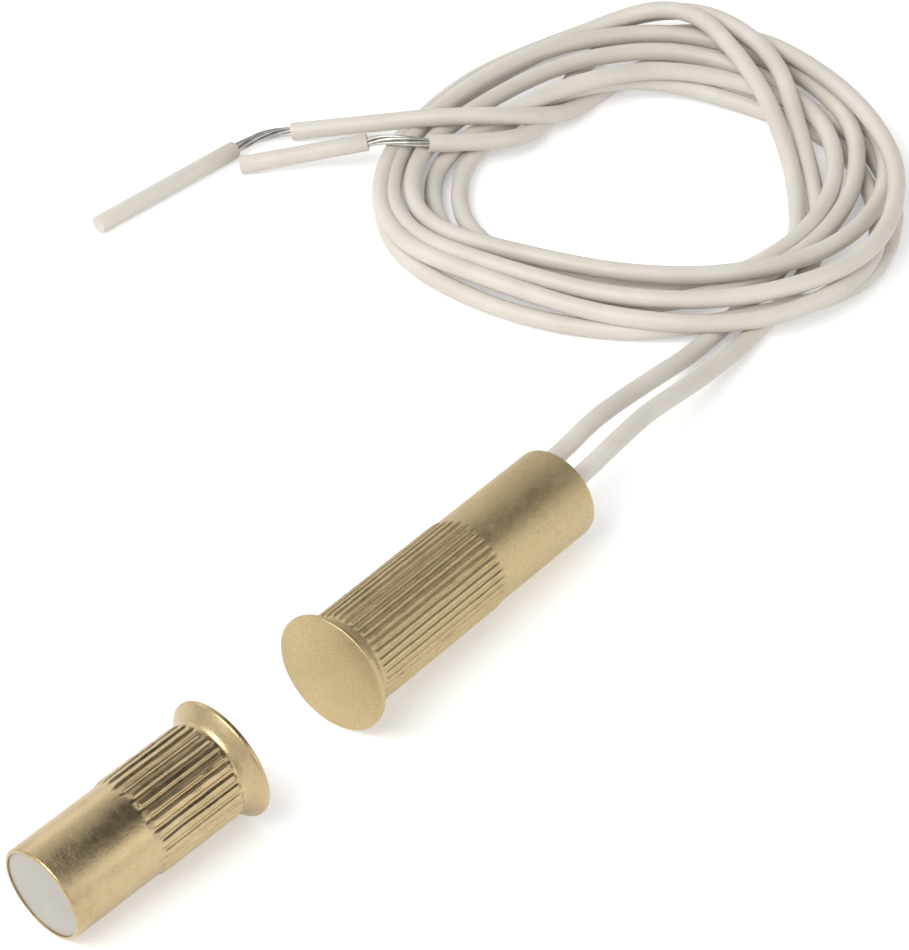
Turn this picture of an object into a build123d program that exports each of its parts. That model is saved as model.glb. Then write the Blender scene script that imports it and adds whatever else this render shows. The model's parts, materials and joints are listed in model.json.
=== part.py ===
from build123d import *
from math import atan2, cos, radians, sin, tan
import os

# Recessed magnetic contact: a reed switch in a turned brass barrel, its matching magnet in a second
# barrel, and the switch's two insulated leads, coiled beside it. Millimetres. +X runs along the switch
# from its flange to its leads, +Z is up, and the floor that everything lies on is z = 0.

# Turned brass barrels
barrel_dia = 8.0
flange_dia = 10.2
rim_land = 0.4
flange_cone_length = 1.0
neck_radius = 0.35
face_edge_chamfer = 0.08
rear_chamfer = 0.12
wall = 0.3
front_wall = 1.2
switch_length = 28.2
magnet_length = 18.3

# Straight ridges pressed into both barrels
ridge_height = 0.2
ridge_start = 1.7
ridge_run_out = 0.4
ridge_root_rise = 0.03
switch_ridge_end = 16.8
switch_ridge_count = 40
switch_ridge_round = 0.24
magnet_ridge_end = 10.0
magnet_ridge_count = 28
magnet_ridge_round = 0.32

# How the two bodies lie beside each other
switch_face_x = 1.1
switch_axis_y = -0.7
face_gap = 11.85
magnet_offset_y = 0.6
magnet_yaw = 180 - 5.9

# Leads: 22 gauge, seven strands under plain insulation
lead_dia = 1.6
core_dia = 0.76
lead_a_up = 1.0
lead_a_side = -2.0
lead_b_up = 0.55
lead_b_side = 0.7

# Potting compound at the back of each barrel
potting_recess = 0.15
potting_dome = 0.25
switch_potting_length = 5.2
magnet_clearance = 0.05
bar_magnet_length = 12.0

# Reed capsule and what joins it to the leads
sleeve_thickness = 0.25
sleeve_clearance = 0.04
sleeve_to_potting = 1.85
capsule_dia = 2.2
capsule_start = 5.0
capsule_to_joint = 2.3
capsule_seal = 1.6
capsule_end_round_share = 0.6
glass_wall = 0.3
capsule_up = -1.0
capsule_side = 0.6
reed_wire_dia = 0.5
reed_bend = 0.9
blade_width = 1.0
blade_thickness = 0.2
blade_gap = 0.12
blade_overlap = 1.4
hairpin_front = 2.9
front_joint_start = 5.2
joint_to_potting = 0.35
joint_length = 2.2
joint_dia = 1.3
joint_end_bevel = 0.16
bared_core = 1.4

# Coil of both leads, and how its top slopes up towards the side where the turns cross
coil_length = 46.0
coil_width = 47.0
coil_centre = (70.4, 19.9)
coil_low = 1.9
coil_slope = 3.1
coil_slope_heading = -40.0
coil_edge_share = 0.35
rim_corners = [(-0.98, 0.80), (-0.98, -0.35), (-0.29, -1.07), (0.75, -0.74), (1.03, 0.54), (0.27, 1.01)]
rim_round_share = 0.42
hole_corners = [(-0.70, 0.57), (-0.60, -0.28), (-0.01, -0.68), (0.44, -0.32), (0.53, 0.39)]
hole_round_share = 0.24

# Free stretches of the leads, each from the point where the one before it ends
arc_share = 0.45
floor_height = lead_dia / 2
exit_straight = 8.0
lead_a_route = [(48.1, 2.4, 2.4), (59.1, 2.8, floor_height)]
lead_b_route = [(47.7, -0.2, 2.1), (60.6, 0.5, floor_height)]
tail_a_route = [
    (78.1, 29.2, 3.1),
    (71.6, 29.6, 4.35),
    (65.7, 34.5, 4.1),
    (60.5, 42.9, 2.5),
    (56.1, 49.7, floor_height),
]
tail_b_route = [(75.1, 32.7, 1.9), (66.1, 31.9, 2.65), (60.3, 37.3, 2.75)]
bare_straight = 0.8
bare_a_route = [(53.5, 51.9, floor_height), (51.1, 51.9, floor_height)]
bare_b_route = [(58.0, 41.2, 2.6)]
slug_a_end = (34.8, 54.0, floor_height)
slug_b_end = (49.2, 49.9, floor_height)

barrel_radius = barrel_dia / 2
flange_radius = flange_dia / 2
bore_radius = barrel_radius - wall
lead_radius = lead_dia / 2
core_radius = core_dia / 2
reed_radius = reed_wire_dia / 2
switch_potting_start = switch_length - potting_recess - switch_potting_length
sleeve_end = switch_potting_start - sleeve_to_potting
rear_joint_start = switch_potting_start - joint_to_potting - joint_length
capsule_length = rear_joint_start - capsule_to_joint - capsule_start


def resting_plane(face_x, face_y, heading, length):
    """Axial plane of a barrel that lies on its flange rim and its rear edge: x along its axis, y up."""
    tilt = atan2(flange_radius - barrel_radius, length - rear_chamfer - rim_land)
    along = Vector(cos(radians(heading)) * cos(tilt), sin(radians(heading)) * cos(tilt), -sin(tilt))
    sideways = Vector(sin(radians(heading)), -cos(radians(heading)), 0)
    height = rim_land * sin(tilt) + flange_radius * cos(tilt)
    return Plane(origin=(face_x, face_y, height), x_dir=along, z_dir=sideways)


def across(plane, distance):
    """Plane square to a barrel's axis at a distance behind its face: x up, y to the side."""
    return Plane(origin=plane.from_local_coords((distance, 0, 0)), x_dir=plane.y_dir, z_dir=plane.x_dir)


def point_in(plane, distance, up, side):
    return plane.from_local_coords((distance, up, side))


switch = resting_plane(switch_face_x, switch_axis_y, 0, switch_length)
magnet = resting_plane(switch_face_x - face_gap, switch_axis_y + magnet_offset_y, magnet_yaw, magnet_length)


def ridge_band(plane, ridge_end, count, ridge_round):
    """Straight rounded ridges around a barrel, run out to its surface at both ends."""
    crest = barrel_radius + ridge_height
    root = barrel_radius + ridge_root_rise
    with BuildPart() as band:
        with BuildSketch(across(plane, ridge_start)):
            Circle(root)
            with PolarLocations(crest - ridge_round, count):
                Circle(ridge_round)
            Circle(bore_radius + wall / 2, mode=Mode.SUBTRACT)
        extrude(amount=ridge_end - ridge_start)
        with BuildSketch(plane):
            with BuildLine():
                Polyline(
                    (ridge_start, 0),
                    (ridge_start, barrel_radius - ridge_height),
                    (ridge_start + ridge_run_out, crest + ridge_height),
                    (ridge_end - ridge_run_out, crest + ridge_height),
                    (ridge_end, barrel_radius - ridge_height),
                    (ridge_end, 0),
                    close=True,
                )
            make_face()
        revolve(axis=Axis(plane.origin, plane.x_dir), mode=Mode.INTERSECT)
    return band.part


def turned_barrel(plane, length, ridges):
    """Closed brass barrel: flat face, conical flange with a small neck radius, blind bore from the rear."""
    cone_end = rim_land + flange_cone_length
    axis = Axis(plane.origin, plane.x_dir)
    with BuildPart() as barrel:
        with BuildSketch(plane):
            with BuildLine():
                Polyline((0, 0), (0, flange_radius - face_edge_chamfer), (face_edge_chamfer, flange_radius))
                FilletPolyline(
                    (face_edge_chamfer, flange_radius),
                    (rim_land, flange_radius),
                    (cone_end, barrel_radius),
                    (length - rear_chamfer, barrel_radius),
                    radius=neck_radius,
                )
                Polyline(
                    (length - rear_chamfer, barrel_radius),
                    (length, barrel_radius - rear_chamfer),
                    (length, bore_radius),
                    (front_wall, bore_radius),
                    (front_wall, 0),
                    (0, 0),
                )
            make_face()
        revolve(axis=axis)
        add(ridges)
    return barrel.part


def resin_plug(plane, length, plug_length, lead_places):
    """Potting compound that closes a bore, slightly domed, poured around the leads that pass it."""
    back = length - potting_recess
    with BuildPart() as plug:
        with BuildSketch(plane):
            with BuildLine():
                Polyline((back, bore_radius), (back - plug_length, bore_radius), (back - plug_length, 0))
                Line((back - plug_length, 0), (back + potting_dome, 0))
                ThreePointArc(
                    (back + potting_dome, 0),
                    (back + potting_dome * 3 / 4, bore_radius / 2),
                    (back, bore_radius),
                )
            make_face()
        revolve(axis=Axis(plane.origin, plane.x_dir))
        if lead_places:
            with BuildSketch(across(plane, 0)):
                with Locations(*lead_places):
                    Circle(lead_radius)
            extrude(amount=length + potting_dome, mode=Mode.SUBTRACT)
    return plug.part


def ring_of(plane, start, end, up, side, outer, inner):
    """Round tube or rod parallel to a barrel's axis."""
    with BuildPart() as ring:
        with BuildSketch(across(plane, start)):
            with Locations((up, side)):
                Circle(outer)
                if inner:
                    Circle(inner, mode=Mode.SUBTRACT)
        extrude(amount=end - start)
    return ring.part


def corner_arc(before, corner, after):
    """Where the arc at a corner starts, passes and ends, as large as the two runs beside it allow."""
    arriving = (corner - before).normalized()
    leaving = (after - corner).normalized()
    half_turn = radians(arriving.get_angle(leaving)) / 2
    reach = arc_share * min((corner - before).length, (after - corner).length)
    radius = reach / tan(half_turn)
    middle = corner + (leaving - arriving).normalized() * (radius / cos(half_turn) - radius)
    return corner - arriving * reach, middle, corner + leaving * reach, radius


def rounded_route(points):
    """Straight runs joined by tangent arcs. Made inside a BuildLine, it returns the smallest arc radius."""
    stops = [Vector(p) for p in points]
    start = stops[0]
    radii = []
    for before, corner, after in zip(stops, stops[1:], stops[2:]):
        arc_start, middle, arc_end, radius = corner_arc(before, corner, after)
        Line(start, arc_start)
        ThreePointArc(arc_start, middle, arc_end)
        start = arc_end
        radii.append(radius)
    Line(start, stops[-1])
    return min(radii, default=0)


def lead_tube(name, points, radius, cut_by=None, bore=0):
    """Lead, bare core or slug of insulation along a route of points."""
    with BuildPart() as tube:
        with BuildLine() as route:
            smallest = rounded_route(points)
        with BuildSketch(Plane(origin=route.wires()[0] @ 0, z_dir=route.wires()[0] % 0)):
            Circle(radius)
            if bore:
                Circle(bore, mode=Mode.SUBTRACT)
        sweep()
        if cut_by:
            add(cut_by, mode=Mode.SUBTRACT)
    print(name, "length", round(route.wires()[0].length, 1), "smallest arc", round(smallest, 1))
    return tube.part


def reed_capsule_glass():
    """Glass tube sealed around the reed wires at both ends."""
    outer = capsule_dia / 2
    inner = outer - glass_wall
    end = capsule_start + capsule_length
    seat = point_in(switch, 0, capsule_up, capsule_side)
    own_plane = Plane(origin=seat, x_dir=switch.x_dir, z_dir=switch.z_dir)
    with BuildPart() as glass:
        with BuildSketch(own_plane):
            with BuildLine():
                FilletPolyline(
                    (capsule_start, 0),
                    (capsule_start, outer),
                    (end, outer),
                    (end, 0),
                    radius=outer * capsule_end_round_share,
                )
                Line((end, 0), (capsule_start, 0))
            make_face()
            with Locations(((capsule_start + end) / 2, inner / 2)):
                Rectangle(capsule_length - 2 * capsule_seal, inner, mode=Mode.SUBTRACT)
        revolve(axis=Axis(own_plane.origin, own_plane.x_dir))
        with BuildSketch(across(switch, 0)):
            with Locations((capsule_up, capsule_side)):
                Circle(reed_radius)
        extrude(amount=switch_length, mode=Mode.SUBTRACT)
    return glass.part


def reed_blade(wire_points, root, tip, lift):
    """Reed: a round wire outside the glass, pressed flat inside it, up to its contact tip."""
    with BuildPart() as reed:
        with BuildLine() as route:
            FilletPolyline(*[point_in(switch, *p) for p in wire_points], radius=reed_bend)
        with BuildSketch(Plane(origin=route.wires()[0] @ 0, z_dir=route.wires()[0] % 0)):
            Circle(reed_radius)
        sweep()
        with BuildSketch(across(switch, min(root, tip))):
            with Locations((capsule_up + lift, capsule_side)):
                Rectangle(blade_thickness, blade_width)
        extrude(amount=abs(tip - root))
    return reed.part


def solder_joint(start, up, side, wire_radii):
    """Solder around the end of a reed wire and the end of a lead's core, which meet inside it."""
    half = joint_length / 2
    with BuildPart() as joint:
        with BuildSketch(across(switch, start)):
            with Locations((up, side)):
                Circle(joint_dia / 2)
        extrude(amount=joint_length)
        chamfer(joint.edges(), length=joint_end_bevel)
        for wire_start, wire_radius in zip((start, start + half), wire_radii):
            with BuildSketch(across(switch, wire_start)):
                with Locations((up, side)):
                    Circle(wire_radius)
            extrude(amount=half, mode=Mode.SUBTRACT)
    return joint.part


def coil_outline(corners, round_share):
    """Closed outline in the floor plane: corners by shares of the coil's half length and half width."""
    half_length = coil_length / 2
    half_width = coil_width / 2
    points = [(x * half_length, y * half_width) for x, y in corners]
    return FilletPolyline(*points, radius=round_share * (half_length + half_width) / 2, close=True)


def coil_solid():
    """Outer shape of the coil: a low ring whose top rises towards the side where the turns cross."""
    heading = radians(coil_slope_heading)
    slope_dir = Vector(cos(heading), sin(heading), tan(radians(coil_slope)))
    level_dir = Vector(-sin(heading), cos(heading), 0)
    low_rim = Vector(-cos(heading) * coil_length / 2, -sin(heading) * coil_width / 2, coil_low)
    top_plane = Plane(origin=low_rim, x_dir=slope_dir, z_dir=slope_dir.cross(level_dir))
    with BuildPart() as coil:
        with BuildSketch():
            with BuildLine():
                coil_outline(rim_corners, rim_round_share)
            make_face()
            with BuildLine():
                coil_outline(hole_corners, hole_round_share)
            make_face(mode=Mode.SUBTRACT)
        extrude(amount=coil_length)
        split(bisect_by=top_plane, keep=Keep.BOTTOM)
        fillet(coil.edges(), radius=coil_edge_share * coil_low)
    return coil.part.moved(Location((*coil_centre, 0)))


def write(part, name):
    part.label = name
    export_step(part, f"parts/{name}.step")


def main():
    os.makedirs("parts", exist_ok=True)
    lead_places = [(lead_a_up, lead_a_side), (lead_b_up, lead_b_side)]
    leads_leave = switch_length - potting_recess
    capsule_end = capsule_start + capsule_length
    contact = (capsule_start + capsule_end) / 2
    blade_lift = (blade_thickness + blade_gap) / 2
    front_middle = front_joint_start + joint_length / 2
    rear_middle = rear_joint_start + joint_length / 2

    # Magnet in its barrel
    ridges = ridge_band(magnet, magnet_ridge_end, magnet_ridge_count, magnet_ridge_round)
    write(turned_barrel(magnet, magnet_length, ridges), "magnet_housing")
    magnet_radius = bore_radius - magnet_clearance
    write(ring_of(magnet, front_wall, front_wall + bar_magnet_length, 0, 0, magnet_radius, 0), "bar_magnet")
    plug_length = magnet_length - potting_recess - front_wall - bar_magnet_length
    write(resin_plug(magnet, magnet_length, plug_length, []), "magnet_potting")

    # Switch in its barrel
    ridges = ridge_band(switch, switch_ridge_end, switch_ridge_count, switch_ridge_round)
    write(turned_barrel(switch, switch_length, ridges), "switch_housing")
    write(resin_plug(switch, switch_length, switch_potting_length, lead_places), "switch_potting")
    sleeve_outer = bore_radius - sleeve_clearance
    sleeve_inner = sleeve_outer - sleeve_thickness
    write(ring_of(switch, front_wall, sleeve_end, 0, 0, sleeve_outer, sleeve_inner), "insulating_sleeve")
    write(reed_capsule_glass(), "reed_capsule")

    front_wire = [
        (contact - blade_overlap, capsule_up, capsule_side),
        (hairpin_front, capsule_up, capsule_side),
        (hairpin_front, lead_a_up, lead_a_side),
        (front_middle, lead_a_up, lead_a_side),
    ]
    rear_wire = [
        (contact + blade_overlap, capsule_up, capsule_side),
        (capsule_end + reed_bend, capsule_up, capsule_side),
        (rear_joint_start, lead_b_up, lead_b_side),
        (rear_middle, lead_b_up, lead_b_side),
    ]
    front_root = contact - blade_overlap
    rear_root = contact + blade_overlap
    front_tip = contact + blade_overlap / 2
    rear_tip = contact - blade_overlap / 2
    write(reed_blade(front_wire, front_root, front_tip, blade_lift), "reed_blade_front")
    write(reed_blade(rear_wire, rear_root, rear_tip, -blade_lift), "reed_blade_rear")
    wire_ends = (reed_radius, core_radius)
    write(solder_joint(front_joint_start, lead_a_up, lead_a_side, wire_ends), "solder_joint_front")
    write(solder_joint(rear_joint_start, lead_b_up, lead_b_side, wire_ends), "solder_joint_rear")

    # Each lead's stretch inside the switch
    for letter, middle, (up, side) in zip("ab", (front_middle, rear_middle), lead_places):
        insulation_start = middle + joint_length / 2 + bared_core
        write(ring_of(switch, middle, leads_leave, up, side, core_radius, 0), f"lead_{letter}_core")
        write(
            ring_of(switch, insulation_start, leads_leave, up, side, lead_radius, core_radius),
            f"lead_{letter}_inner",
        )

    # Free stretches, coil and stripped ends
    coil = coil_solid()
    write(coil, "lead_coil")
    stretches = (
        ("a", lead_places[0], lead_a_route, tail_a_route, bare_a_route, slug_a_end),
        ("b", lead_places[1], lead_b_route, tail_b_route, bare_b_route, slug_b_end),
    )
    for letter, (up, side), exit_route, tail_route, bare_route, slug_end in stretches:
        leaving = [tuple(point_in(switch, leads_leave + d, up, side)) for d in (0, exit_straight)]
        write(lead_tube("exit", leaving + exit_route, lead_radius, coil), f"lead_{letter}_exit")
        write(lead_tube("tail", tail_route, lead_radius, coil), f"lead_{letter}_tail")
        stripped, before = Vector(tail_route[-1]), Vector(tail_route[-2])
        onward = stripped + (stripped - before).normalized() * bare_straight
        strands = [stripped, onward] + bare_route + [slug_end]
        slug_start = corner_arc(*[Vector(p) for p in strands[-3:]])[2]
        slug = lead_tube("slug", [slug_start, slug_end], lead_radius, bore=core_radius)
        write(lead_tube("strands", strands, core_radius), f"lead_{letter}_strands")
        write(slug, f"lead_{letter}_slug")


main()
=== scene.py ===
import json
from math import cos, pi, radians, sin

import bmesh
import bpy
from mathutils import Euler, Matrix, Vector


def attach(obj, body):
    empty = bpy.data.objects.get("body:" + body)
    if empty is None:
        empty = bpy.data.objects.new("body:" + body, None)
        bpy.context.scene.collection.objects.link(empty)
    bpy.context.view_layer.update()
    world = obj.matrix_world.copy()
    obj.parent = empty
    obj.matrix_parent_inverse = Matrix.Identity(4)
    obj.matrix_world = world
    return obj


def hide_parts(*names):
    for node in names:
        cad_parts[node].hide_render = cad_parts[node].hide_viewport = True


# Recessed magnetic contact: a reed switch and its magnet in turned brass barrels,
# and the switch's two coiled leads
MM = 0.001

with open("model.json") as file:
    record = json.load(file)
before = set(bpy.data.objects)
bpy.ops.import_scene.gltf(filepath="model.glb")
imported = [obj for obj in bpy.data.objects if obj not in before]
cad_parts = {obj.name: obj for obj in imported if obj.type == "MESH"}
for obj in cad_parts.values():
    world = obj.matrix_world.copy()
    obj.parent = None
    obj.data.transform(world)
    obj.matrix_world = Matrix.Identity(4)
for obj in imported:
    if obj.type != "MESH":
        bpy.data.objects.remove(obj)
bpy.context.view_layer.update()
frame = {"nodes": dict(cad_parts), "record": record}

# Sizes and places shared with the solids, in millimetres
FLANGE_RADIUS = 5.1
BARREL_RADIUS = 4.0
BORE_RADIUS = 3.7
FRONT_WALL = 1.2
SWITCH_LENGTH = 28.2
MAGNET_LENGTH = 18.3
SWITCH_ORIGIN = Vector((1.1, -0.7, 5.112))
SWITCH_AXIS = Vector((0.99921, 0.0, -0.03971))
MAGNET_ORIGIN = Vector((-10.75, -0.1, 5.115))
MAGNET_AXIS = Vector((-0.99280, 0.10260, -0.06175))
LEAD_RADIUS = 0.8

# Ribs pressed into the barrels
SWITCH_RIBS = {
    "Count": 40,
    "Start": 1.62,
    "End": 16.95,
    "Height": 0.15,
    "Valley": 0.02,
    "Land": 0.12,
    "Seed": 3,
}
MAGNET_RIBS = {
    "Count": 28,
    "Start": 1.62,
    "End": 10.15,
    "Height": 0.17,
    "Valley": 0.05,
    "Land": -0.2,
    "Seed": 8,
}

# Spacing of the barrel's rows of points where ribs begin and end, and between
FINE_STEP = 0.07
COARSE_STEP = 0.36
SHARP_EDGE = radians(50)

# Lead routes, in millimetres: out of the switch, round the coil, over it and out to the stripped ends.
# Each turn of the coil has twelve stations: how far the lead lies from the centre there, and how high.
COIL_CENTRE = (70.4, 19.9)
FIRST_STATION = 240
STATION_STEP = 30
# The smooth curve passes inside its points, so they stand a little further out than the lead
PULL = 1.035
TURNS = {
    "a": (
        (
            (18.5, 15.1, 12.4, 12.1, 14.6, 22.3, 21.4, 20.4, 23.3, 25.3, 20.6, 20.9),
            (0.8, 0.8, 1.0, 2.6, 4.2, 4.8, 1.2, 0.8, 2.2, 2.4, 2.4, 2.4),
        ),
        (
            (23.0, 22.9, 19.4, 17.2, 14.0, 13.5, 12.8, 14.2, 16.8, 17.8, 16.4, 15.2),
            (2.6, 2.4, 0.9, 0.8, 0.8, 1.6, 2.8, 1.9, 0.8, 0.8, 0.8, 0.8),
        ),
        (
            (15.0, 15.6, 15.8, 16.6, 17.0, 17.6, 17.0, 17.0, 20.8, 22.2, 16.6, 15.4),
            (1.0, 2.4, 2.4, 2.4, 2.2, 2.4, 2.4, 2.4, 1.9, 2.6, 3.0, 2.9),
        ),
        (
            (16.9, 19.2, 20.4, 21.0, 21.4),
            (3.3, 3.0, 2.5, 1.2, 0.8),
        ),
    ),
    "b": (
        (
            (21.6, 17.4, 14.1, 13.8, 17.7, 23.8, 22.0, 22.0, 23.2, 25.0, 22.3, 20.9),
            (0.8, 0.8, 0.8, 2.2, 5.0, 3.2, 0.8, 0.8, 0.8, 0.8, 0.8, 0.8),
        ),
        (
            (21.4, 22.9, 21.4, 19.4, 15.2, 13.4, 11.8, 13.6, 19.3, 20.0, 18.0, 17.4),
            (2.3, 0.9, 0.8, 0.8, 2.3, 3.2, 4.1, 3.2, 0.9, 0.8, 0.8, 0.8),
        ),
        (
            (17.0, 17.0, 17.5, 19.0, 19.7, 20.4, 19.8, 19.9, 22.5, 24.0, 19.2, 19.0),
            (1.7, 2.3, 2.4, 2.4, 2.1, 2.4, 2.4, 2.4, 1.7, 2.6, 3.0, 3.1),
        ),
        (
            (21.0, 22.8, 21.4, 19.7, 19.5),
            (3.9, 3.9, 3.9, 3.9, 3.9),
        ),
    ),
}
EXIT_ROUTE = {
    "a": [
        (29.1, 1.3, 5.0),
        (33.0, 1.35, 4.85),
        (37.4, 1.85, 4.75),
        (42.0, 2.15, 3.9),
        (48.2, 2.5, 2.5),
        (53.1, 2.85, 1.2),
    ],
    "b": [
        (29.1, -1.4, 4.55),
        (33.0, -1.35, 4.55),
        (37.5, -1.1, 4.6),
        (42.2, -0.6, 4.0),
        (47.0, -0.4, 2.9),
        (52.0, 0.0, 1.7),
    ],
}
TAIL_ROUTE = {
    "a": [
        (87.9, 27.6, 0.8),
        (83.2, 31.2, 0.8),
        (77.6, 31.7, 0.8),
        (73.6, 31.4, 1.3),
        (69.9, 32.2, 2.6),
        (66.0, 34.5, 3.9),
        (62.8, 38.6, 3.7),
        (60.2, 43.0, 2.5),
        (56.1, 49.7, 0.8),
    ],
    "b": [
        (91.2, 26.6, 2.2),
        (89.6, 32.2, 0.8),
        (83.6, 35.8, 0.8),
        (77.0, 34.6, 0.8),
        (71.9, 32.7, 0.9),
        (68.2, 32.1, 1.6),
        (64.6, 33.0, 2.5),
        (59.8, 36.9, 3.3),
    ],
}
BARE_ROUTE = {
    "a": [(55.8, 50.2, 0.8), (53.9, 51.4, 0.8), (51.9, 51.9, 0.8)],
    "b": [(59.0, 37.9, 3.5), (58.2, 39.3, 3.5), (57.6, 40.6, 3.3)],
}
SLUG_END = {"a": (35.1, 54.25, 0.8), "b": (49.4, 50.1, 0.8)}
SLUG_LENGTH = {"a": 15.9, "b": 11.6}

# Bared conductor: seven twisted strands, one of them in the middle
STRANDS = {"Strands": 7, "Strand Radius": 0.14, "Lay Radius": 0.28, "Splay": 0.06, "Twist": 2.4}
OUTER_STRANDS = STRANDS["Strands"] - 1

# How far the bared conductor runs on inside the insulation at each end
INSIDE_LEAD = 0.6
INSIDE_SLUG = 1.5


# Node helpers


def node(tree, kind, **settings):
    n = tree.nodes.new(kind)
    for key, value in settings.items():
        if key in n.inputs:
            n.inputs[key].default_value = value
        else:
            setattr(n, key, value)
    return n


def feed(tree, socket, value):
    """Links a socket to another node's output, or sets it to a number, vector or colour."""
    if hasattr(value, "is_linked"):
        tree.links.new(value, socket)
    else:
        socket.default_value = value


def maths(tree, operation, a, b=0.0):
    n = node(tree, "ShaderNodeMath", operation=operation)
    feed(tree, n.inputs[0], a)
    feed(tree, n.inputs[1], b)
    return n.outputs[0]


def vectors(tree, operation, a, b=None, scale=None):
    n = node(tree, "ShaderNodeVectorMath", operation=operation)
    feed(tree, n.inputs[0], a)
    if b is not None:
        feed(tree, n.inputs[1], b)
    if scale is not None:
        feed(tree, n.inputs["Scale"], scale)
    return n.outputs["Value"] if operation in ("LENGTH", "DOT_PRODUCT") else n.outputs["Vector"]


def span(tree, value, low, high, to_low=0.0, to_high=1.0, ease=False):
    n = node(tree, "ShaderNodeMapRange")
    n.interpolation_type = "SMOOTHSTEP" if ease else "LINEAR"
    for socket, setting in (("From Min", low), ("From Max", high), ("To Min", to_low), ("To Max", to_high)):
        feed(tree, n.inputs[socket], setting)
    feed(tree, n.inputs["Value"], value)
    return n.outputs["Result"]


def noise(tree, vector, scale, detail=3.0, roughness=0.55):
    n = node(tree, "ShaderNodeTexNoise")
    n.inputs["Scale"].default_value = scale
    n.inputs["Detail"].default_value = detail
    n.inputs["Roughness"].default_value = roughness
    tree.links.new(vector, n.inputs["Vector"])
    return n.outputs[0]


# Finishes

# Cells of each pattern to the metre
LATHE_MARKS = 9000
BRASS_CLOUD = 230
BRASS_MOTTLE = 1300
BRASS_SPECKLE = 4800
LEAD_CLOUD = 190
LEAD_SKIN = 1500

# Depths of the finest relief, in metres, the tone of pits in brass, and the tone of tarnish and painted shade
# in its rib valleys
LATHE_DEPTH = 0.00002
PIT_DEPTH = 0.00011
MOTTLE_DEPTH = 0.00005
SKIN_DEPTH = 0.00004
GRAIN_DEPTH = 0.00002
PIT_TONE = (0.36, 0.27, 0.125)
TARNISH_AND_SHADE_TONE = (0.17, 0.12, 0.05)


def material(name):
    m = bpy.data.materials.new(name)
    m.use_nodes = True
    return m, m.node_tree, m.node_tree.nodes["Principled BSDF"]


def own_place(tree, turn=(0, 0, 0), shift=(0, 0, 0)):
    where = node(tree, "ShaderNodeTexCoord")
    place = node(tree, "ShaderNodeMapping")
    place.inputs["Rotation"].default_value = turn
    place.inputs["Location"].default_value = shift
    tree.links.new(where.outputs["Object"], place.inputs["Vector"])
    return place.outputs["Vector"]


def mix(tree, factor, a, b):
    n = node(tree, "ShaderNodeMix", data_type="RGBA")
    feed(tree, n.inputs["Factor"], factor)
    colours = [s for s in n.inputs if s.type == "RGBA"]
    for slot, value in zip(colours, (a, b)):
        feed(tree, slot, value if hasattr(value, "is_linked") else (*value, 1))
    return next(s for s in n.outputs if s.type == "RGBA")


def bump(tree, height, strength, distance, normal=None):
    n = node(tree, "ShaderNodeBump")
    n.inputs["Strength"].default_value = strength
    n.inputs["Distance"].default_value = distance
    tree.links.new(height, n.inputs["Height"])
    if normal:
        tree.links.new(normal, n.inputs["Normal"])
    return n.outputs["Normal"]


def turned_brass(name, axis, origin, low, high, grain, gloss, tarnish_and_shade):
    """Brass turned along an axis: lathe marks round it, cast grain, and tarnish with painted shade between
    the ribs.
    """
    m, tree, shader = material(name)
    turn = axis.rotation_difference(Vector((1, 0, 0)))
    own = own_place(tree, turn.to_euler(), -(turn @ (origin * MM)))
    split = node(tree, "ShaderNodeSeparateXYZ")
    tree.links.new(own, split.inputs[0])
    along = node(tree, "ShaderNodeCombineXYZ")
    tree.links.new(split.outputs["X"], along.inputs["X"])
    lathe_marks = noise(tree, along.outputs[0], LATHE_MARKS, 2.0, 0.7)
    cloud = noise(tree, own, BRASS_CLOUD, 4.0, 0.6)
    mottle = noise(tree, own, BRASS_MOTTLE, 3.0, 0.65)
    speckle = noise(tree, own, BRASS_SPECKLE, 3.0, 0.7)
    tone = mix(tree, span(tree, cloud, 0.35, 0.65), low, high)
    brightest = [1.12 * c for c in high]
    tone = mix(tree, span(tree, mottle, 0.35, 0.68, to_high=0.5), tone, brightest)
    tone = mix(tree, span(tree, speckle, 0.50, 0.70, to_high=0.7 * grain), tone, PIT_TONE)
    # Valleys between the ribs are darkened: partly tarnish, partly painted shade where the ribs shade each
    # other
    valley = node(tree, "ShaderNodeAttribute", attribute_name="valley")
    tone = mix(tree, maths(tree, "MULTIPLY", valley.outputs["Fac"], tarnish_and_shade), tone, TARNISH_AND_SHADE_TONE)
    tree.links.new(tone, shader.inputs["Base Color"])
    shader.inputs["Metallic"].default_value = 1.0
    clouded = span(tree, cloud, 0.3, 0.7, gloss, gloss + 0.08)
    mottled = span(tree, mottle, 0.3, 0.7, -0.04, 0.06)
    rough = maths(tree, "ADD", clouded, mottled)
    tree.links.new(rough, shader.inputs["Roughness"])
    marked = bump(tree, lathe_marks, 0.22, LATHE_DEPTH)
    pitted = bump(tree, speckle, 0.35 * grain + 0.08, PIT_DEPTH, marked)
    tree.links.new(bump(tree, mottle, 0.2, MOTTLE_DEPTH, pitted), shader.inputs["Normal"])
    return m


def lead_insulation(name):
    """Soft cream insulation: a satin skin over a faintly translucent body."""
    m, tree, shader = material(name)
    own = own_place(tree)
    cloud = noise(tree, own, LEAD_CLOUD, 3.0)
    skin = noise(tree, own, LEAD_SKIN, 4.0, 0.6)
    tone = mix(tree, span(tree, cloud, 0.35, 0.65), (0.65, 0.605, 0.535), (0.71, 0.67, 0.605))
    tree.links.new(tone, shader.inputs["Base Color"])
    tree.links.new(span(tree, skin, 0.3, 0.7, 0.36, 0.48), shader.inputs["Roughness"])
    shader.inputs["Subsurface Weight"].default_value = 0.25
    shader.inputs["Subsurface Radius"].default_value = (1.0, 0.62, 0.35)
    shader.inputs["Subsurface Scale"].default_value = 0.0007
    tree.links.new(bump(tree, skin, 0.25, SKIN_DEPTH), shader.inputs["Normal"])
    return m


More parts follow.
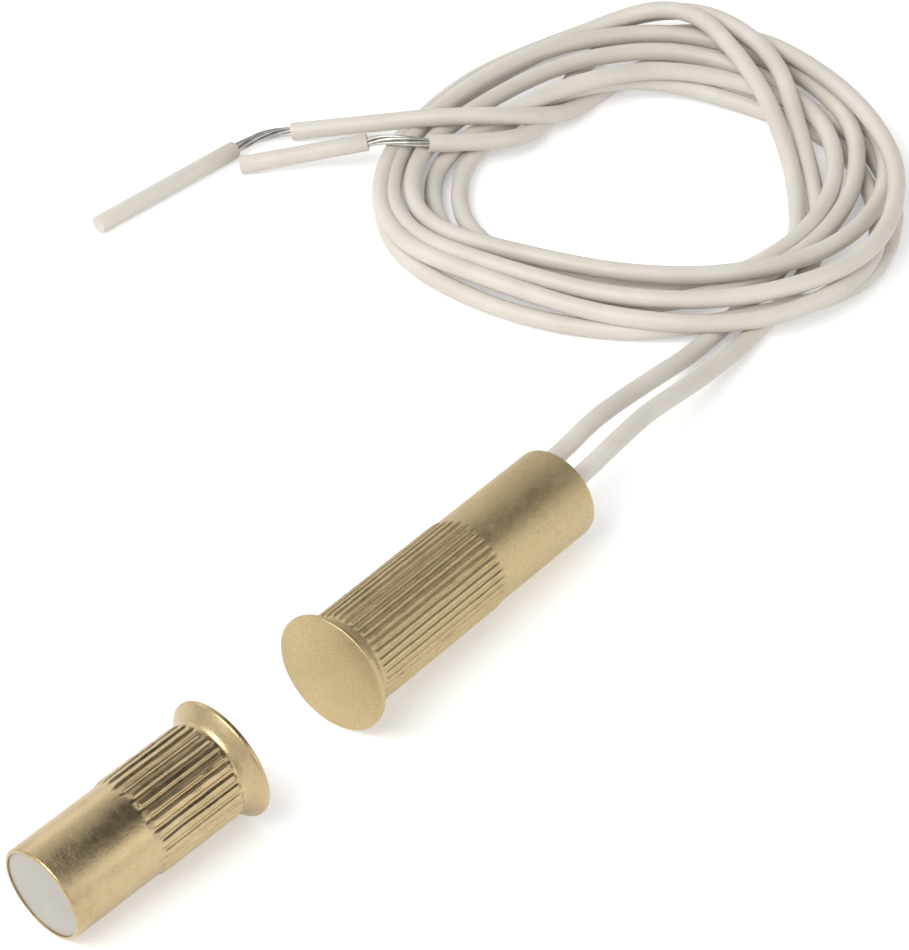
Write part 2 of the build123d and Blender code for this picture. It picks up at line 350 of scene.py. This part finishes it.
def plain(name, low, high, scale, rough, metallic=0.0):
    """Drawn, cast or moulded finish: a clouded tone and a fine grain in its gloss and relief."""
    m, tree, shader = material(name)
    own = own_place(tree)
    cloud = noise(tree, own, scale, 4.0)
    grain = noise(tree, own, scale * 8, 3.0)
    tree.links.new(mix(tree, span(tree, cloud, 0.35, 0.65), low, high), shader.inputs["Base Color"])
    tree.links.new(span(tree, grain, 0.3, 0.7, rough - 0.06, rough + 0.06), shader.inputs["Roughness"])
    shader.inputs["Metallic"].default_value = metallic
    tree.links.new(bump(tree, grain, 0.3, GRAIN_DEPTH), shader.inputs["Normal"])
    return m


switch_brass = turned_brass(
    "switch_brass",
    SWITCH_AXIS,
    SWITCH_ORIGIN,
    low=(0.50, 0.395, 0.215),
    high=(0.575, 0.462, 0.265),
    grain=0.75,
    gloss=0.42,
    tarnish_and_shade=0.08,
)
magnet_brass = turned_brass(
    "magnet_brass",
    MAGNET_AXIS,
    MAGNET_ORIGIN,
    low=(0.44, 0.335, 0.183),
    high=(0.54, 0.428, 0.25),
    grain=0.45,
    gloss=0.26,
    tarnish_and_shade=0.08,
)
lead_pvc = lead_insulation("lead_pvc")
tinned = plain("tinned", (0.50, 0.485, 0.455), (0.72, 0.70, 0.665), scale=900, rough=0.42, metallic=1.0)
resin = plain("resin", (0.415, 0.39, 0.345), (0.46, 0.435, 0.385), scale=400, rough=0.42)
reed_metal = plain(
    "reed_metal", (0.45, 0.44, 0.42), (0.60, 0.59, 0.57), scale=700, rough=0.32, metallic=1.0
)
solder_metal = plain(
    "solder_metal", (0.52, 0.52, 0.53), (0.66, 0.66, 0.67), scale=500, rough=0.28, metallic=1.0
)
sleeve_black = plain("sleeve_black", (0.012, 0.012, 0.012), (0.025, 0.025, 0.025), scale=600, rough=0.5)
magnet_metal = plain(
    "magnet_metal", (0.12, 0.12, 0.125), (0.20, 0.20, 0.21), scale=600, rough=0.55, metallic=1.0
)
glass = plain("capsule_glass_clear", (0.75, 0.88, 0.82), (0.80, 0.92, 0.86), scale=300, rough=0.1)
glass.node_tree.nodes["Principled BSDF"].inputs["Transmission Weight"].default_value = 0.9

FINISH = {
    "turned_brass": switch_brass,
    "potting_resin": resin,
    "lead_insulation": lead_pvc,
    "tinned_copper": tinned,
    "reed_alloy": reed_metal,
    "solder": solder_metal,
    "capsule_glass": glass,
    "sleeve_plastic": sleeve_black,
    "magnet_alloy": magnet_metal,
}
SLOT_OF = {part["node"]: part["material_slot"] for part in frame["record"]["subparts"]}
for name, solid in frame["nodes"].items():
    finish = magnet_brass if name == "magnet_housing" else FINISH[SLOT_OF[name]]
    for holder in solid.material_slots:
        holder.material = finish


# Pieces


def add_piece(name, data, finish):
    """Object of the part, at the origin, with one finish, riding on the part's only body."""
    obj = bpy.data.objects.new(name, data)
    bpy.context.scene.collection.objects.link(obj)
    data.materials.clear()
    data.materials.append(finish)
    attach(obj, "root")
    return obj


def run_tree(name, data, tree, settings):
    """Plain mesh that a node tree makes of a mesh or a curve, with its named inputs set first."""
    carrier = bpy.data.objects.new(name, data)
    bpy.context.scene.collection.objects.link(carrier)
    modifier = carrier.modifiers.new(tree.name, "NODES")
    modifier.node_group = tree
    for socket in tree.interface.items_tree:
        if socket.name in settings:
            modifier[socket.identifier] = settings[socket.name]
    carrier.update_tag()
    shaped = carrier.evaluated_get(bpy.context.evaluated_depsgraph_get())
    mesh = bpy.data.meshes.new_from_object(shaped)
    bpy.data.objects.remove(carrier)
    return mesh


def new_tree(name, inputs):
    """Node tree with a geometry input and named number inputs."""
    tree = bpy.data.node_groups.new(name, "GeometryNodeTree")
    tree.interface.new_socket("Geometry", in_out="INPUT", socket_type="NodeSocketGeometry")
    for label, value in inputs.items():
        kind = "NodeSocketInt" if isinstance(value, int) else "NodeSocketFloat"
        tree.interface.new_socket(label, in_out="INPUT", socket_type=kind).default_value = value
    tree.interface.new_socket("Geometry", in_out="OUTPUT", socket_type="NodeSocketGeometry")
    return tree, tree.nodes.new("NodeGroupInput").outputs


def end_tree(tree, geometry, finish):
    real = node(tree, "GeometryNodeRealizeInstances")
    tree.links.new(geometry, real.inputs[0])
    painted = node(tree, "GeometryNodeSetMaterial")
    painted.inputs["Material"].default_value = finish
    tree.links.new(real.outputs[0], painted.inputs["Geometry"])
    tree.links.new(painted.outputs[0], tree.nodes.new("NodeGroupOutput").inputs[0])


def rib_tree(finish):
    """Raises uneven ribs round a plain barrel that lies along X, and marks the valleys between them."""
    tree, given = new_tree("pressed ribs", SWITCH_RIBS)
    position = node(tree, "GeometryNodeInputPosition").outputs[0]
    split = node(tree, "ShaderNodeSeparateXYZ")
    tree.links.new(position, split.inputs[0])
    x, y, z = split.outputs
    y_squared = maths(tree, "MULTIPLY", y, y)
    z_squared = maths(tree, "MULTIPLY", z, z)
    radius = maths(tree, "POWER", maths(tree, "ADD", y_squared, z_squared), 0.5)
    turn = maths(tree, "DIVIDE", maths(tree, "ARCTAN2", z, y), 2 * pi)
    wander = noise(tree, vectors(tree, "MULTIPLY", position, (0.35, 1.0, 1.0)), 1.1, 2.0)
    stray = span(tree, wander, 0.25, 0.75, -0.05, 0.05)
    phase = maths(tree, "ADD", maths(tree, "MULTIPLY", turn, given["Count"]), stray)
    rib = maths(tree, "FLOOR", phase)
    wave = maths(tree, "COSINE", maths(tree, "MULTIPLY", maths(tree, "SUBTRACT", phase, rib), 2 * pi))
    foot = maths(tree, "SUBTRACT", given["Land"], 0.75)
    top = maths(tree, "ADD", given["Land"], 0.45)
    crest = span(tree, maths(tree, "MULTIPLY", wave, -1.0), foot, top, ease=True)

    def chance(low, high, salt):
        n = node(tree, "FunctionNodeRandomValue", data_type="FLOAT")
        n.inputs[2].default_value = low
        n.inputs[3].default_value = high
        wrapped = maths(tree, "MODULO", maths(tree, "ADD", rib, given["Count"]), given["Count"])
        tree.links.new(wrapped, n.inputs["ID"])
        tree.links.new(maths(tree, "ADD", given["Seed"], salt), n.inputs["Seed"])
        return n.outputs[1]

    start = maths(tree, "ADD", given["Start"], chance(-0.1, 0.12, 0))
    end = maths(tree, "ADD", given["End"], chance(-0.22, 0.08, 1))
    rise = span(tree, x, start, maths(tree, "ADD", start, 0.4), ease=True)
    fall = span(tree, x, maths(tree, "SUBTRACT", end, 0.8), end, 1.0, 0.0, ease=True)
    outside = maths(tree, "GREATER_THAN", radius, BARREL_RADIUS - 0.12)
    ribbed = maths(tree, "MULTIPLY", maths(tree, "MULTIPLY", rise, fall), outside)
    wear = noise(tree, vectors(tree, "MULTIPLY", position, (1.0, 2.0, 2.0)), 1.4, 3.0)
    worn = span(tree, wear, 0.3, 0.7, 0.72, 1.0)
    height = maths(tree, "MULTIPLY", maths(tree, "MULTIPLY", given["Height"], chance(0.8, 1.0, 2)), worn)
    raised = maths(tree, "MULTIPLY", crest, maths(tree, "ADD", height, given["Valley"]))
    lifted = maths(tree, "SUBTRACT", raised, given["Valley"])
    amount = maths(tree, "MULTIPLY", lifted, ribbed)
    outward = node(tree, "ShaderNodeCombineXYZ")
    tree.links.new(y, outward.inputs["Y"])
    tree.links.new(z, outward.inputs["Z"])
    share = maths(tree, "DIVIDE", amount, maths(tree, "MAXIMUM", radius, 0.5))
    moved = node(tree, "GeometryNodeSetPosition")
    tree.links.new(given["Geometry"], moved.inputs["Geometry"])
    tree.links.new(vectors(tree, "SCALE", outward.outputs[0], scale=share), moved.inputs["Offset"])
    valley = maths(tree, "MULTIPLY", maths(tree, "SUBTRACT", 1.0, crest), ribbed)
    mark = node(tree, "GeometryNodeStoreNamedAttribute", data_type="FLOAT", domain="POINT")
    mark.inputs["Name"].default_value = "valley"
    tree.links.new(moved.outputs[0], mark.inputs["Geometry"])
    tree.links.new(valley, mark.inputs["Value"])
    end_tree(tree, mark.outputs[0], finish)
    return tree


def turned_mesh(name, profile, sides):
    """Closed mesh turned round X from a profile that starts and ends on the axis."""
    mesh = bmesh.new()
    first = mesh.verts.new((profile[0][0], 0, 0))
    last = mesh.verts.new((profile[-1][0], 0, 0))
    rows = []
    for x, radius in profile[1:-1]:
        angles = [2 * pi * i / sides for i in range(sides)]
        rows.append([mesh.verts.new((x, radius * cos(angle), radius * sin(angle))) for angle in angles])
    for i in range(sides):
        after = (i + 1) % sides
        mesh.faces.new((first, rows[0][i], rows[0][after]))
        mesh.faces.new((last, rows[-1][after], rows[-1][i]))
        for row, next_row in zip(rows, rows[1:]):
            mesh.faces.new((row[i], next_row[i], next_row[after], row[after]))
    bmesh.ops.recalc_face_normals(mesh, faces=mesh.faces)
    data = bpy.data.meshes.new(name)
    mesh.to_mesh(data)
    mesh.free()
    return data


def lay_turned(mesh, start, direction):
    """Lays a mesh turned round X, in millimetres, along a direction, and smooths all but its sharp edges."""
    turn = Vector((1, 0, 0)).rotation_difference(direction).to_matrix().to_4x4()
    mesh.transform(Matrix.Translation(start * MM) @ turn @ Matrix.Scale(MM, 4))
    mesh.shade_smooth()
    mesh.set_sharp_from_angle(angle=SHARP_EDGE)


def steps(first, last, step):
    """Evenly spaced places from first to last, about a step apart."""
    count = max(1, round((last - first) / step))
    return [first + (last - first) * i / count for i in range(count + 1)]


def barrel_profile(length, rib_start, rib_end):
    """Outline of a barrel from the middle of its face to the middle of its bore's blind end."""
    rim_drops = ((0, 0.14), (0.03, 0.06), (0.09, 0.01), (0.16, 0), (0.32, 0), (0.40, 0.03), (0.46, 0.09))
    rim = [(x, FLANGE_RADIUS - drop) for x, drop in rim_drops]
    cone = [(0.7, 4.77), (0.95, 4.5), (1.15, 4.27), (1.28, 4.14), (1.4, 4.06), (1.5, 4.02)]
    near = steps(1.55, rib_start + 0.6, FINE_STEP)
    middle = steps(rib_start + 0.9, rib_end - 0.9, COARSE_STEP)
    far = steps(rib_end - 0.75, rib_end + 0.2, FINE_STEP)
    body = [(x, BARREL_RADIUS) for x in near + middle + far]
    rear_drops = ((0.18, 0), (0.1, 0.02), (0.02, 0.1), (0, 0.14))
    rear = [(length - back, BARREL_RADIUS - drop) for back, drop in rear_drops]
    bore = [(length, BORE_RADIUS), (FRONT_WALL, BORE_RADIUS), (FRONT_WALL, 0)]
    return [(0, 0), (0, 2.5)] + rim + cone + body + rear + bore


def ribbed_barrel(name, length, ribs, origin, axis, finish, segments):
    """Turned barrel with pressed ribs, so many segments across each, laid along its axis."""
    profile = barrel_profile(length, ribs["Start"], ribs["End"])
    plain_barrel = turned_mesh(name, profile, ribs["Count"] * segments)
    mesh = run_tree(name, plain_barrel, rib_tree(finish), ribs)
    lay_turned(mesh, origin, axis)
    barrel = add_piece(name, mesh, finish)
    return barrel


switch_barrel = ribbed_barrel(
    "switch_barrel_ribbed",
    SWITCH_LENGTH,
    SWITCH_RIBS,
    SWITCH_ORIGIN,
    SWITCH_AXIS,
    switch_brass,
    segments=12,
)
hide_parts("switch_housing")
magnet_barrel = ribbed_barrel(
    "magnet_barrel_ribbed",
    MAGNET_LENGTH,
    MAGNET_RIBS,
    MAGNET_ORIGIN,
    MAGNET_AXIS,
    magnet_brass,
    segments=16,
)
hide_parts("magnet_housing")


# Leads


def route(lead):
    """Route points of a lead: out of the switch, twelve stations for each turn of the coil, then its tail."""
    points = list(EXIT_ROUTE[lead])
    station = 0
    for radii, heights in TURNS[lead]:
        for radius, height in zip(radii, heights):
            angle = radians(FIRST_STATION + STATION_STEP * station)
            x = COIL_CENTRE[0] + PULL * radius * cos(angle)
            y = COIL_CENTRE[1] + PULL * radius * sin(angle)
            points.append((x, y, height))
            station += 1
    return points + TAIL_ROUTE[lead]


def smooth_route(name, points, radius):
    """Curve data of one smooth spline whose control points are a route's points."""
    data = bpy.data.curves.new(name, "CURVE")
    data.dimensions = "3D"
    data.bevel_depth = radius * MM
    data.bevel_resolution = 7
    data.resolution_u = 10
    data.use_fill_caps = True
    spline = data.splines.new("NURBS")
    spline.points.add(len(points) - 1)
    for place, point in zip(points, spline.points):
        point.co = (place[0] * MM, place[1] * MM, place[2] * MM, 1)
    spline.order_u = 3
    spline.use_endpoint_u = True
    return data


def strand_tree(finish):
    """Lays twisted strands round a route, opened out a little half way along it."""
    tree, given = new_tree("twisted strands", STRANDS)
    spaced = node(tree, "GeometryNodeResampleCurve")
    spaced.inputs["Count"].default_value = 48
    tree.links.new(given["Geometry"], spaced.inputs["Curve"])
    copies = node(tree, "GeometryNodeDuplicateElements", domain="SPLINE")
    tree.links.new(spaced.outputs[0], copies.inputs["Geometry"])
    tree.links.new(given["Strands"], copies.inputs["Amount"])
    index = copies.outputs["Duplicate Index"]
    tangent = node(tree, "GeometryNodeInputTangent").outputs[0]
    side = vectors(tree, "NORMALIZE", vectors(tree, "CROSS_PRODUCT", tangent, (0.0, 0.0, 1.0)))
    up = vectors(tree, "CROSS_PRODUCT", side, tangent)
    along = node(tree, "GeometryNodeSplineParameter").outputs["Factor"]
    ring = maths(tree, "MULTIPLY", index, 2 * pi / OUTER_STRANDS)
    angle = maths(tree, "ADD", ring, maths(tree, "MULTIPLY", along, given["Twist"]))
    opened = maths(tree, "MULTIPLY", maths(tree, "SINE", maths(tree, "MULTIPLY", along, pi)), given["Splay"])
    spread = maths(tree, "ADD", given["Lay Radius"], opened)
    outer = maths(tree, "LESS_THAN", index, OUTER_STRANDS - 0.5)
    lay = maths(tree, "MULTIPLY", maths(tree, "MULTIPLY", spread, outer), MM)
    sideways = vectors(tree, "SCALE", side, scale=maths(tree, "MULTIPLY", maths(tree, "COSINE", angle), lay))
    upward = vectors(tree, "SCALE", up, scale=maths(tree, "MULTIPLY", maths(tree, "SINE", angle), lay))
    moved = node(tree, "GeometryNodeSetPosition")
    tree.links.new(copies.outputs["Geometry"], moved.inputs["Geometry"])
    tree.links.new(vectors(tree, "ADD", sideways, upward), moved.inputs["Offset"])
    round_wire = node(tree, "GeometryNodeCurvePrimitiveCircle")
    round_wire.inputs["Resolution"].default_value = 12
    tree.links.new(maths(tree, "MULTIPLY", given["Strand Radius"], MM), round_wire.inputs["Radius"])
    swept = node(tree, "GeometryNodeCurveToMesh")
    swept.inputs["Fill Caps"].default_value = True
    tree.links.new(moved.outputs[0], swept.inputs["Curve"])
    tree.links.new(round_wire.outputs[0], swept.inputs["Profile Curve"])
    end_tree(tree, swept.outputs[0], finish)
    return tree


def cut_slug(name, start, direction, length, finish):
    """Short cut length of insulation, with slightly rounded ends, left on the end of a conductor."""
    edge = ((0.0, LEAD_RADIUS - 0.06), (0.06, LEAD_RADIUS))
    outside = list(edge) + [(length * share, LEAD_RADIUS) for share in (0.25, 0.5, 0.75)]
    outside += [(length - place, radius) for place, radius in reversed(edge)]
    mesh = turned_mesh(name, [(0, 0)] + outside + [(length - 0.12, 0.36), (length - 0.12, 0)], 40)
    lay_turned(mesh, start, direction)
    return add_piece(name, mesh, finish)


twist = strand_tree(tinned)
for lead in "ab":
    line = smooth_route(f"lead_{lead}", route(lead), LEAD_RADIUS)
    tube = add_piece(f"lead_{lead}_insulated", line, lead_pvc)
    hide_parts(f"lead_{lead}_exit", "lead_coil", f"lead_{lead}_tail")

    # Bared strands, from just inside the insulation to just inside the slug
    stripped = Vector(TAIL_ROUTE[lead][-1])
    before = Vector(TAIL_ROUTE[lead][-2])
    tip = Vector(SLUG_END[lead])
    bare = [stripped + (before - stripped).normalized() * INSIDE_LEAD]
    bare += [Vector(p) for p in BARE_ROUTE[lead]]
    slug_run = (tip - bare[-1]).normalized()
    slug_start = tip - slug_run * SLUG_LENGTH[lead]
    bare += [slug_start, slug_start + slug_run * INSIDE_SLUG]
    strands = run_tree("bare_route", smooth_route("bare_route", bare, 0), twist, STRANDS)
    strands.shade_smooth()
    wires = add_piece(f"lead_{lead}_bare_strands", strands, tinned)
    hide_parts(f"lead_{lead}_strands")

    slug = cut_slug(f"lead_{lead}_cut_slug", slug_start, slug_run, SLUG_LENGTH[lead], lead_pvc)
    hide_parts(f"lead_{lead}_slug")


# Floor and light
FLOOR_HALF = 3.0
FLOOR_GLOW = 0.32


def floor_finish():
    """White floor that glows faintly to the camera, in mirrors and through glass, and keeps the shadow."""
    m, tree, shader = material("floor_white")
    shader.inputs["Base Color"].default_value = (0.9, 0.9, 0.9, 1)
    shader.inputs["Roughness"].default_value = 0.8
    shader.inputs["Specular IOR Level"].default_value = 0.1
    white = node(tree, "ShaderNodeEmission", Color=(1, 1, 1, 1), Strength=FLOOR_GLOW)
    both = node(tree, "ShaderNodeAddShader")
    path = node(tree, "ShaderNodeLightPath")
    mirrored = maths(tree, "MAXIMUM", path.outputs["Is Glossy Ray"], path.outputs["Is Transmission Ray"])
    choose = node(tree, "ShaderNodeMixShader")
    tree.links.new(maths(tree, "MAXIMUM", path.outputs["Is Camera Ray"], mirrored), choose.inputs[0])
    tree.links.new(shader.outputs[0], both.inputs[0])
    tree.links.new(white.outputs[0], both.inputs[1])
    tree.links.new(shader.outputs[0], choose.inputs[1])
    tree.links.new(both.outputs[0], choose.inputs[2])
    tree.links.new(choose.outputs[0], tree.nodes["Material Output"].inputs["Surface"])
    return m


floor_mesh = bmesh.new()
bmesh.ops.create_grid(floor_mesh, x_segments=1, y_segments=1, size=FLOOR_HALF)
floor_data = bpy.data.meshes.new("floor")
floor_mesh.to_mesh(floor_data)
floor_mesh.free()
floor_data.materials.append(floor_finish())
floor = bpy.data.objects.new("floor", floor_data)
bpy.context.scene.collection.objects.link(floor)

# Pale studio all round, darker on the side that the barrels' tops mirror
DARK_SIDE = Vector((0.45, -0.20, 0.87))
DARK_FROM, DARK_TO = 0.74, 0.95
PALE_SKY, DARK_SKY = 0.74, 0.06
world = bpy.data.worlds.new("studio")
bpy.context.scene.world = world
world.use_nodes = True
sky = world.node_tree
facing = vectors(sky, "DOT_PRODUCT", node(sky, "ShaderNodeTexCoord").outputs["Generated"], DARK_SIDE)
sky.nodes["Background"].inputs["Color"].default_value = (1, 1, 1, 1)
strength = span(sky, facing, DARK_FROM, DARK_TO, PALE_SKY, DARK_SKY, ease=True)
sky.links.new(strength, sky.nodes["Background"].inputs["Strength"])


def lamp(name, place, target, size, power):
    """Soft lamp at a place, turned to a target. The camera doesn't see it."""
    data = bpy.data.lights.new(name, "AREA")
    data.shape = "RECTANGLE"
    data.size, data.size_y = size
    data.energy = power
    obj = bpy.data.objects.new(name, data)
    obj.location = place
    obj.rotation_euler = (Vector(target) - Vector(place)).to_track_quat("-Z", "Y").to_euler()
    obj.visible_camera = False
    bpy.context.scene.collection.objects.link(obj)


middle = (0.03, 0.015, 0.0)
lamp("over", place=(-0.30, 0.06, 0.42), target=middle, size=(0.40, 0.30), power=1.7)
lamp("behind", place=(0.12, 0.50, 0.22), target=middle, size=(0.45, 0.25), power=0.3)
lamp("front", place=(0.20, -0.46, 0.20), target=middle, size=(0.45, 0.26), power=0.36)

# Camera: its place, and how many degrees it looks down and round
CAMERA_LENS = 163.74
CAMERA_PLACE = (-0.17845, -0.15585, 0.2355)
LOOK_DOWN = 41.538
LOOK_ROUND = -51.451
camera_data = bpy.data.cameras.new("camera")
camera_data.lens = CAMERA_LENS
camera_data.sensor_width = 36
camera_data.clip_start = 0.01
camera_data.clip_end = 20
camera = bpy.data.objects.new("camera", camera_data)
camera.location = CAMERA_PLACE
camera.rotation_euler = Euler((radians(90 - LOOK_DOWN), 0, radians(LOOK_ROUND)))
bpy.context.scene.collection.objects.link(camera)
bpy.context.scene.camera = camera
bpy.context.scene.view_settings.view_transform = "Standard"
